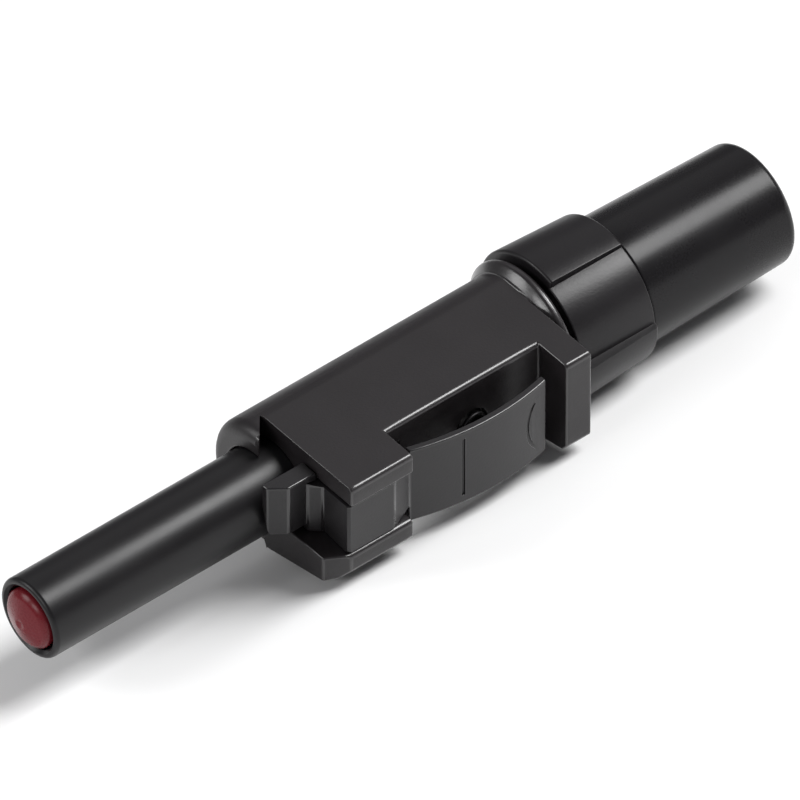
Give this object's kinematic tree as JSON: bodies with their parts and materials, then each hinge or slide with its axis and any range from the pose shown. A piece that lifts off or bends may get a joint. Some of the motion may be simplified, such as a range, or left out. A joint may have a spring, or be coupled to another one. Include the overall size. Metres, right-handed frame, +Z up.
{
  "type": "banana plug",
  "caption": "Straight black test plug with a red pin tip, a sliding insulating sleeve, a side latch lever and a grip nut on a tapered rear sleeve, for joining a lead to a socket.",
  "frame": {"origin": "on the plug's axis, in the plane of the housing's front face, where the plug pin leaves the housing", "axes": "+X along the plug towards the cable entry, +Z up as the plug lies on its sloping underside, the lever's block towards -Y"},
  "size_m": [0.0573, 0.0131, 0.0104],
  "materials": {
    "housing_plastic": "black moulded plastic, fine satin texture",
    "lever_plastic": "black moulded plastic, satin",
    "nut_plastic": "black moulded plastic, satin",
    "sleeve_plastic": "black moulded plastic, half gloss",
    "tip_plastic": "red moulded plastic, gloss",
    "holder_plastic": "natural white insulating plastic",
    "nickel_plate": "nickel plated, bright",
    "spring_steel": "drawn spring steel"
  },
  "bodies": {
    "housing": {"body_housing": "housing_plastic", "contact_pin": "nickel_plate", "contact_springs": "nickel_plate", "pin_tip": "tip_plastic", "pin_holder": "holder_plastic", "holder_ring": "spring_steel", "pin_clip": "spring_steel", "spring_washer": "spring_steel", "wire_screw": "spring_steel", "lever_pin": "spring_steel", "sleeve_spring": "spring_steel", "lever_spring": "spring_steel"},
    "sleeve": {"touch_sleeve": "sleeve_plastic"},
    "lever": {"release_lever": "lever_plastic"},
    "tail": {"rear_sleeve": "sleeve_plastic", "neck_clip": "spring_steel"},
    "nut": {"union_nut": "nut_plastic"}
  },
  "joints": [
    {"name": "sleeve_retract", "type": "slide", "parent": "housing", "child": "sleeve", "axis": [1, 0, 0], "range_m": [0, 0.0125], "stiffness_N_per_m": 120, "springref_m": -0.01, "deforming": ["sleeve_spring"]},
    {"name": "lever_press", "type": "hinge", "parent": "housing", "child": "lever", "pos_m": [0.005, -0.00478, -0.00106], "axis": [0, -0.2164, 0.9763], "range_deg": [0, 6.4], "stiffness_Nm_per_rad": 0.08, "springref_deg": -8.59, "deforming": ["lever_spring"]},
    {"name": "tail_slide", "type": "slide", "parent": "housing", "child": "tail", "axis": [1, 0, 0], "range_m": [0, 0.0024]},
    {"name": "nut_turn", "type": "hinge", "parent": "tail", "child": "nut", "pos_m": [0.0246, 0, 0], "axis": [1, 0, 0], "range_deg": [0, 1080]}
  ],
  "couplings": [
    {"joint": "nut_turn", "follows": "tail_slide", "rad_per_m": 7854}
  ]
}
